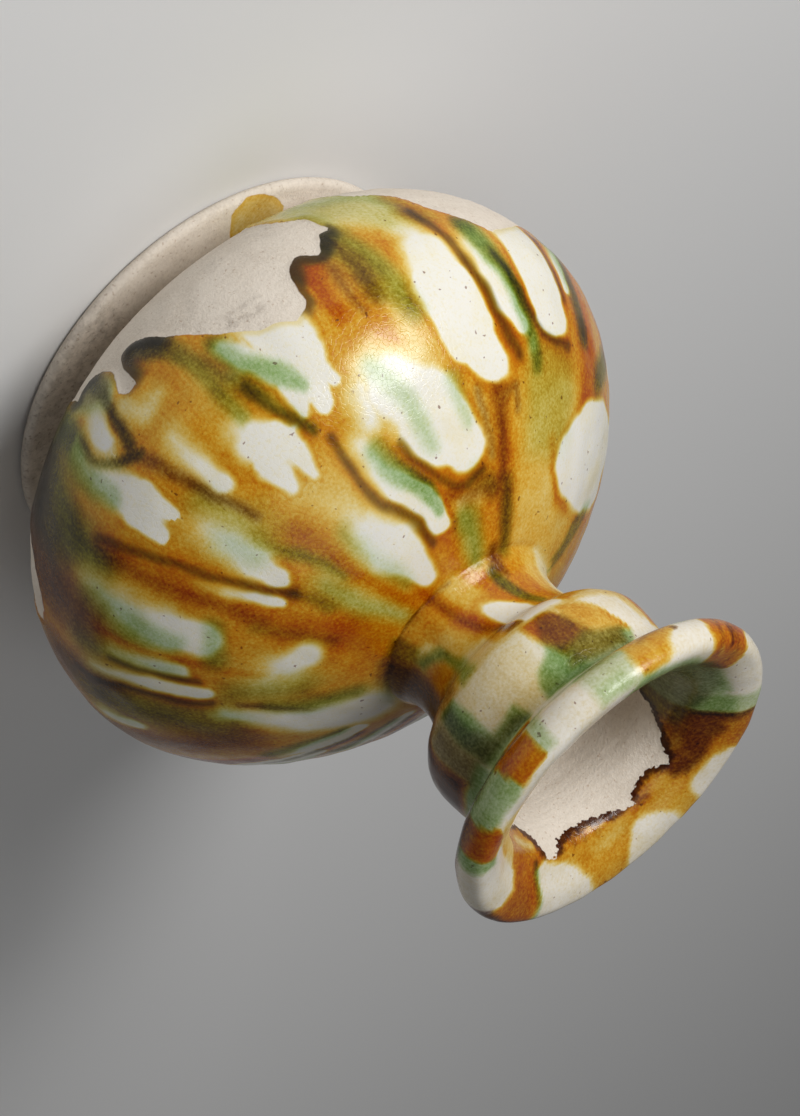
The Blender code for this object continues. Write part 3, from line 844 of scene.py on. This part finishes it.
def paint_far_belly(paint):
    """The hidden side of the belly: tongues of cream in three tiers, green beside them, threads between."""
    random = np.random.default_rng(SEED + 1)
    for _ in range(13):
        longitude, place = random.uniform(98, 258), random.uniform(0, 74)
        blotch(paint, random, longitude, place, 11, 38, amber=random.uniform(1.2, 1.7))
        blotch(paint, random, longitude, place, 7, 30, brown=random.uniform(0.1, 0.3))
    for _ in range(8):
        longitude, place = random.uniform(98, 258), random.uniform(-4, 72)
        blotch(paint, random, longitude, place, 10, 30, green=random.uniform(0.3, 0.7))
    tiers = [(72.0, 22.0, 3.4, 25.0), (47.0, 26.0, 6.6, 22.0), (16.0, 17.0, 6.0, 18.0)]
    for tier, (height, length, radius, pitch) in enumerate(tiers):
        longitude = 101.0 + tier * pitch / 3
        while longitude < 240.0 + tier * 6:
            tip = height + random.uniform(-10, 7)
            size = radius * random.uniform(0.7, 1.3)
            reach = length * random.uniform(0.7, 1.3)
            drift = random.uniform(-3, 4)
            tail = tip - reach
            paint.splash((longitude, tip, size * 0.65, 0.8),
                         (longitude + drift / 2, tip - reach / 3, size, 1.0),
                         (longitude + drift, tip - 2 * reach / 3, size, 2.0),
                         (longitude + drift, tail, size * 0.7, 5.0))
            if random.random() < 0.4:
                paint.splash((longitude + 4, tip - 4, size * 0.3, 0.7),
                             (longitude + 3, tip - reach / 2, size * 0.6, 1.4))
            side = random.choice([-1, 1]) * 50 / (45 + tier * 15)
            edge = longitude + side * size
            if random.random() < 0.75:
                green = random.uniform(0.5, 1.0)
                paint.run((edge, tip - 3, 1.6, 1.5), (edge + drift, tail, 3.0, 2.5), green=green)
            if random.random() < 0.7:
                edge = longitude - side * size * 1.3
                paint.thread(1.5, (edge, tip - 2), (edge + drift, tail),
                             (edge + drift * 1.4, tail - reach / 3))
            longitude += pitch * random.uniform(0.75, 1.25)


def paint_far_neck(paint):
    """The hidden side of the neck and the bulge."""
    random = np.random.default_rng(SEED + 2)
    for longitude in range(112, 250, 23):
        centre = longitude + random.uniform(-5, 5)
        amounts = [{"green": 0.6}, {"amber": 0.2}, {"amber": 1.4}, {"amber": 0.3}][random.integers(4)]
        blotch(paint, random, centre, random.uniform(88, 98), 26, 15, **amounts)
    for longitude in (121, 158, 187, 226):
        centre, place = longitude + random.uniform(-4, 4), random.uniform(118, 124)
        width, height = random.uniform(24, 34), random.uniform(13, 20)
        blotch(paint, random, centre, place, width, height, amber=random.uniform(0.8, 1.4))
        blotch(paint, random, centre - 6, place, width * 0.6, height, green=random.uniform(0.1, 0.5))
    for longitude in (139, 206, 249):
        centre, height = longitude + random.uniform(-4, 4), random.uniform(12, 17)
        place = MOUTH_WAIST - height / 2
        blotch(paint, random, centre, place, 26, height, green=random.uniform(0.5, 0.9))


def paint_crusts(paint):
    """Where the glaze's edge is a dark crust: the short lobes of the lower belly, and inside the mouth."""
    paint.field(1.5, (-33, -13.4), (-33.4, -8), (-27, -4), (-22, -3), (-19, 0), (-17, -3), (-20, -14),
                crust=1.0)
    paint.field(1, (-19.6, -3), (-19.6, 4), (-17.5, 6), (-16, 4), (-17.5, -3), crust=0.6)
    paint.field(2.5, (1, -16), (6, -15), (10, -13), (12.6, -13), (13, -24), (9, -30), (3, -26), crust=0.9)
    paint.field(2, (15, -26), (19, -26), (24, -26), (26, -30), (24, -40), (12, -34), crust=0.7)
    paint.patch(*THROAT_SIDES, ARRIS + 0.5, ARRIS + 40, 1, crust=1.0)
    paint.patch(*THROAT_SIDES, ARRIS - 2, ARRIS + 40, 1, ragged=1.0)


def dirty(paint):
    """Dirt on bare clay: smudges on the belly, and more of it on the foot; the clay is also darker along the
    waist's fold.
    """
    points = paint.skin.points
    blotches = smoothstep(waves(points, 14.0, 11) + 0.5 * waves(points, 5.0, 12), 0.6, 2.2)
    paint.lay(blotches, grime=0.3)
    paint.patch(-14, -5, -8, -2, 2, grime=0.9)
    paint.lay(smoothstep(-paint.along, 62.0, 66.0), grime=0.24)
    paint.patch(8, 64, -82, -64, 6, grime=0.85)
    # Darker along the waist's fold.
    paint.lay(smoothstep(-np.abs(paint.along - WAIST), -2.2, -0.2), grime=0.4)


def painted(skin):
    """Everything that is laid on the surface, and how far inside the glaze's edge each vertex lies, in mm."""
    paint = Paint(skin)
    paint.warp()
    steps = [paint_grounds, paint_belly_bands, paint_belly_splashes, paint_belly_runs, paint_left_end]
    steps += [paint_far_belly, paint_neck, paint_bulge, paint_far_neck, paint_lip, paint_throat]
    steps += [paint_crusts, dirty]
    for step in steps:
        step(paint)
    outlines = [girdling(front_glaze_edge() + hidden_glaze_edge()), girdling(throat_glaze_edge())]
    return paint, signed_distance(paint, outlines)


# The mesh

def relief(skin, glaze):
    """How far each vertex stands off the turned form, in mm: glaze is thick, most so along its lower edge."""
    on_glaze = smoothstep(glaze, -0.5, 0.6)
    from_bead = (glaze - DRIP_EDGE_PLACE) / DRIP_EDGE_WIDTH
    beaded = np.exp(-(from_bead**2)) * smoothstep(-skin.along, 2.0, 10.0)
    outside = smoothstep(skin.along, FOOT_EDGE, FOOT_EDGE + 2)
    swell = SWELL_HEIGHT * waves(skin.points, SWELL_LENGTH, 21) - SWELL_SINK
    phase = waves(skin.points, RING_WANDER, 22)
    rings = RING_HEIGHT * np.sin(skin.along * 2 * math.pi / RING_PITCH + phase)
    bare = 1 - on_glaze
    glazed = beaded * DRIP_EDGE_THICKNESS - bare * GLAZE_THICKNESS
    return (glazed + swell + rings * (0.3 + 0.7 * bare)) * outside


def vase_mesh(skin, paint, glaze):
    mesh = bpy.data.meshes.new("sancai_vase")
    lifted = skin.points + skin.normal * relief(skin, glaze)[:, None]
    lifted[:, 2] = np.maximum(lifted[:, 2], 0.0)
    places = np.vstack([lifted, skin.under, skin.floor]) * MM
    mesh.from_pydata(places.tolist(), [], skin.faces())
    mesh.validate()
    mesh.shade_smooth()
    values = dict(paint.laid, glaze=glaze, white=paint.white, white_soft=paint.white_soft, line=paint.line)
    for name, value in values.items():
        attribute = mesh.attributes.new(name, "FLOAT", "POINT")
        padded = np.concatenate([np.clip(value, -GREATEST_HELD, GREATEST_HELD), [0.0, 0.0]])
        attribute.data.foreach_set("value", padded.astype(np.float32))
    turn = np.radians(skin.longitude)
    reach = np.maximum(skin.radius, LEAST_REACH)
    run = np.column_stack([reach * np.sin(turn), reach * np.cos(turn), skin.along])
    attribute = mesh.attributes.new("run", "FLOAT_VECTOR", "POINT")
    attribute.data.foreach_set("vector", np.vstack([run, [[0, 0, 0]] * 2]).astype(np.float32).ravel())
    return mesh


# Materials

class Value:
    """What a node gives. Where it is a number, sums and products of it are nodes too."""

    def __init__(self, graph, socket):
        self.graph = graph
        self.socket = socket

    def __add__(self, other):
        return self.graph.maths("ADD", self, other)

    def __sub__(self, other):
        return self.graph.maths("SUBTRACT", self, other)

    def __rsub__(self, other):
        return self.graph.maths("SUBTRACT", other, self)

    def __mul__(self, other):
        return self.graph.maths("MULTIPLY", self, other)

    def __truediv__(self, other):
        return self.graph.maths("DIVIDE", self, other)


class Graph:
    """Short names for the node kinds that the materials are made of."""

    def __init__(self, name):
        self.material = bpy.data.materials.new(name)
        self.material.use_nodes = True
        self.tree = self.material.node_tree
        self.shader = self.tree.nodes["Principled BSDF"]

    def node(self, kind, inputs, output=0, **settings):
        """What a new node gives. Its inputs are fed by their names or numbers."""
        made = self.tree.nodes.new(kind)
        for name, value in settings.items():
            setattr(made, name, value)
        for name, value in inputs.items():
            self.feed(made.inputs[name], value)
        return Value(self, made.outputs[output])

    def feed(self, socket, value):
        if isinstance(value, Value):
            self.tree.links.new(value.socket, socket)
        else:
            socket.default_value = value

    def attribute(self, name, output="Fac"):
        return self.node("ShaderNodeAttribute", {}, output, attribute_name=name)

    def position(self):
        return self.node("ShaderNodeTexCoord", {}, "Object")

    def stretched(self, vector, scale):
        return self.node("ShaderNodeVectorMath", {0: vector, 1: scale}, operation="MULTIPLY")

    def noise(self, vector, scale, detail=3.0, roughness=0.55):
        inputs = {"Vector": vector, "Scale": scale, "Detail": detail, "Roughness": roughness}
        return self.node("ShaderNodeTexNoise", inputs, "Fac")

    def cracks(self, vector, scale):
        """Distance from the cracks between cells."""
        inputs = {"Vector": vector, "Scale": scale}
        return self.node("ShaderNodeTexVoronoi", inputs, "Distance", feature="DISTANCE_TO_EDGE")

    def maths(self, operation, *values):
        return self.node("ShaderNodeMath", dict(enumerate(values)), operation=operation)

    def ranged(self, value, low, high, to_low=0.0, to_high=1.0, kind="SMOOTHSTEP"):
        inputs = dict(enumerate((value, low, high, to_low, to_high)))
        return self.node("ShaderNodeMapRange", inputs, interpolation_type=kind)

    def mixed(self, factor, first, second, kind="RGBA"):
        inputs = {"Factor": factor, "A": first, "B": second}
        return self.node("ShaderNodeMix", inputs, "Result", data_type=kind)


# The cream ground, and how strongly each glaze takes red, green and blue out of it.

CREAM = (0.80, 0.79, 0.765)
AMBER = (0.41, 1.33, 5.0)
GREEN = (1.75, 0.93, 1.79)
BROWN = (2.8, 3.6, 3.7)

# The clay's colours, and the surfaces.

CLAY_LIGHT = (0.77, 0.69, 0.59, 1.0)
CLAY_DARK = (0.66, 0.575, 0.475, 1.0)
CLAY_DIRT = (0.20, 0.155, 0.12, 1.0)
CLAY_PIT = (0.36, 0.21, 0.11, 1.0)
CLAY_ROUGHNESS = 0.85
GLAZE_SPECULAR = 0.31
BUMP_STRENGTH = 0.35
BUMP_DEPTH = 0.0002

# How fine each noise is: its lumps or cells to the metre.

FINE_GRAIN = 1300.0
SMALL_GRAIN = 420.0
CLOUDS = 95.0
SPECKS = 620.0
BITES = 800.0
DOTS = 1000.0
PITS = 1000.0
GRIT = 2400.0
CRAZING = 700.0

# The streaks, drawn long down the wall: lumps to the mm, and their stretch.

STREAKS = 0.75
STREAK_STRETCH = (1.0, 1.0, 0.12)


def glazed_clay():
    """Lead glaze with its runs of colour, over pale rough clay that stays bare below it."""
    g = Graph("sancai_glaze")
    place = g.position()
    fine = g.noise(place, FINE_GRAIN)
    small = g.noise(place, SMALL_GRAIN)
    cloudy = g.noise(place, CLOUDS, 4.0)
    specks = g.ranged(g.noise(place, SPECKS, 1.0), 0.73, 0.79)
    down_wall = g.stretched(g.attribute("run", "Vector"), STREAK_STRETCH)
    streaks = g.noise(down_wall, STREAKS, 4.0, 0.6)
    wobble = (small - 0.5) * 0.7
    grain = (fine - 0.5) * 0.6

    white_depth = g.attribute("white") + (wobble + grain)
    white = g.ranged(white_depth / g.attribute("white_soft"), -1.0, 1.0)
    crisp = g.ranged(g.attribute("white_soft"), 0.8, 2.2, 1.0, 0.0)
    rim_place = (white_depth + 1.5) / 0.9
    rim = g.maths("EXPONENT", rim_place * rim_place * -1.0) * crisp
    line_depth = g.attribute("line") + wobble * 0.8
    line = g.ranged(line_depth, -1.3, 1.0)
    halo = g.ranged(line_depth, -3.0, -0.2) * (1.0 - white)

    ragged = g.attribute("ragged")
    bitten = (g.noise(place, BITES, 1.0) - 0.5) * ragged * 2.6
    glaze_depth = wobble * 0.6 + g.attribute("glaze") + bitten
    glazed = g.ranged(glaze_depth, -0.18, 0.18)
    drip = g.ranged(glaze_depth, 2.2, 0.3)
    burnt = g.ranged(glaze_depth * (ragged * 0.8 + 1.0), 4.6, 1.4) * g.attribute("crust")
    charred = burnt * (1.0 - ragged * 0.85)

    speckle = g.ranged(fine, 0.3, 0.7, 0.74, 1.26, "LINEAR")
    flow = g.ranged(streaks, 0.3, 0.7, 0.88, 1.12, "LINEAR")
    cloud = g.ranged(cloudy, 0.3, 0.7, 0.76, 1.24, "LINEAR")
    stain = g.ranged(cloudy, 0.45, 0.75, 0.0, 0.03) + g.ranged(fine, 0.5, 0.75, 0.0, 0.04)
    uneven = speckle * flow * cloud
    thick = 1.0 - white * 0.97
    green = g.attribute("green") * uneven * (1.0 - white * 0.45) + line * 0.28 + charred * 0.3
    amber = g.attribute("amber") * uneven * thick + rim * 0.22 + (drip * 0.12 + stain)
    amber = (amber + halo * 0.36 + green * 0.12) * (1.0 - charred * 0.7)
    brown = g.attribute("brown") * uneven * thick + line * 0.30 + burnt * 0.64 + specks * 0.3
    channels = []
    for cream, a, b, c in zip(CREAM, AMBER, GREEN, BROWN):
        taken = amber * a + (green * b + brown * c)
        channels.append(g.maths("EXPONENT", taken * -1.0) * cream)
    glaze = g.node("ShaderNodeCombineColor", dict(enumerate(channels)))

    smudges = g.ranged(small, 0.35, 0.68, 0.0, 0.38)
    dots = g.ranged(g.noise(place, DOTS, 4.0), 0.53, 0.66, 0.0, 0.32)
    dirt = g.attribute("grime") * (smudges + dots)
    pits = g.ranged(g.noise(place, PITS, 1.0), 0.66, 0.76, 0.0, 0.4)
    clay = g.mixed(g.ranged(cloudy + fine, 0.75, 1.45), CLAY_LIGHT, CLAY_DARK)
    clay = g.mixed(dirt, clay, CLAY_DIRT)
    clay = g.mixed(pits, clay, CLAY_PIT)

    grit = fine * 2.4 + g.noise(place, GRIT, 1.0)
    crazing = g.ranged(g.cracks(place, CRAZING), 0.0, 0.09)
    worn = crazing * 0.22 + (fine + small) * 0.22
    height = g.mixed(glazed, grit, worn, "FLOAT")
    inputs = {"Strength": BUMP_STRENGTH, "Distance": BUMP_DEPTH, "Height": height}
    bump = g.node("ShaderNodeBump", inputs)
    gloss = g.ranged(small, 0.3, 0.7, 0.17, 0.26, "LINEAR")
    g.feed(g.shader.inputs["Base Color"], g.mixed(glazed, clay, glaze))
    g.feed(g.shader.inputs["Roughness"], g.mixed(glazed, CLAY_ROUGHNESS, gloss, "FLOAT"))
    g.feed(g.shader.inputs["Normal"], bump)
    g.shader.inputs["Specular IOR Level"].default_value = GLAZE_SPECULAR
    return g.material


def plain(name, colour, roughness):
    g = Graph(name)
    g.shader.inputs["Base Color"].default_value = colour
    g.shader.inputs["Roughness"].default_value = roughness
    return g.material


# The studio

def placed_camera():
    elevation, roll = math.radians(CAMERA_ELEVATION), math.radians(CAMERA_ROLL)
    back = Vector((0.0, -math.cos(elevation), math.sin(elevation)))
    level = Vector((1.0, 0.0, 0.0))
    upright = back.cross(level)
    right = level * math.cos(roll) + upright * math.sin(roll)
    up = back.cross(right)
    camera = bpy.data.objects.new("camera", bpy.data.cameras.new("camera"))
    camera.data.lens = CAMERA_LENS
    camera.data.sensor_width = SENSOR
    camera.data.clip_start = CAMERA_CLIP
    turned = Matrix((right, up, back)).transposed().to_4x4()
    camera.matrix_world = Matrix.Translation(CAMERA_AIM_HEIGHT * UP + back * CAMERA_DISTANCE) @ turned
    bpy.context.scene.collection.objects.link(camera)
    bpy.context.scene.camera = camera


def soft_light(name, direction, distance, size, power):
    light = bpy.data.objects.new(name, bpy.data.lights.new(name, "AREA"))
    light.data.shape = "DISK"
    light.data.size = size
    light.data.energy = power
    light.location = CAMERA_AIM_HEIGHT * UP + direction.normalized() * distance
    light.rotation_euler = direction.to_track_quat("Z", "Y").to_euler()
    bpy.context.scene.collection.objects.link(light)


def studio():
    soft_light("key", KEY_DIRECTION, KEY_DISTANCE, KEY_SIZE, KEY_POWER)
    soft_light("fill", FILL_DIRECTION, FILL_DISTANCE, FILL_SIZE, FILL_POWER)
    world = bpy.data.worlds.new("room")
    world.use_nodes = True
    background = world.node_tree.nodes["Background"]
    background.inputs["Color"].default_value = ROOM_COLOUR
    background.inputs["Strength"].default_value = ROOM_STRENGTH
    bpy.context.scene.world = world
    bpy.context.scene.view_settings.view_transform = "Standard"
    mesh = bpy.data.meshes.new("floor")
    w = FLOOR_HALF_WIDTH
    mesh.from_pydata([(-w, -w, 0), (w, -w, 0), (w, w, 0), (-w, w, 0)], [], [(0, 1, 2, 3)])
    mesh.materials.append(plain("floor", FLOOR_COLOUR, FLOOR_ROUGHNESS))
    floor = bpy.data.objects.new("floor", mesh)
    bpy.context.scene.collection.objects.link(floor)


def dressed_vase():
    skin = Skin()
    paint, glaze = painted(skin)
    mesh = vase_mesh(skin, paint, glaze)
    mesh.materials.append(glazed_clay())
    vase = bpy.data.objects.new("sancai_vase", mesh)
    bpy.context.scene.collection.objects.link(vase)
    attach(vase, "root")
    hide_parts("vase")


dressed_vase()
placed_camera()
studio()
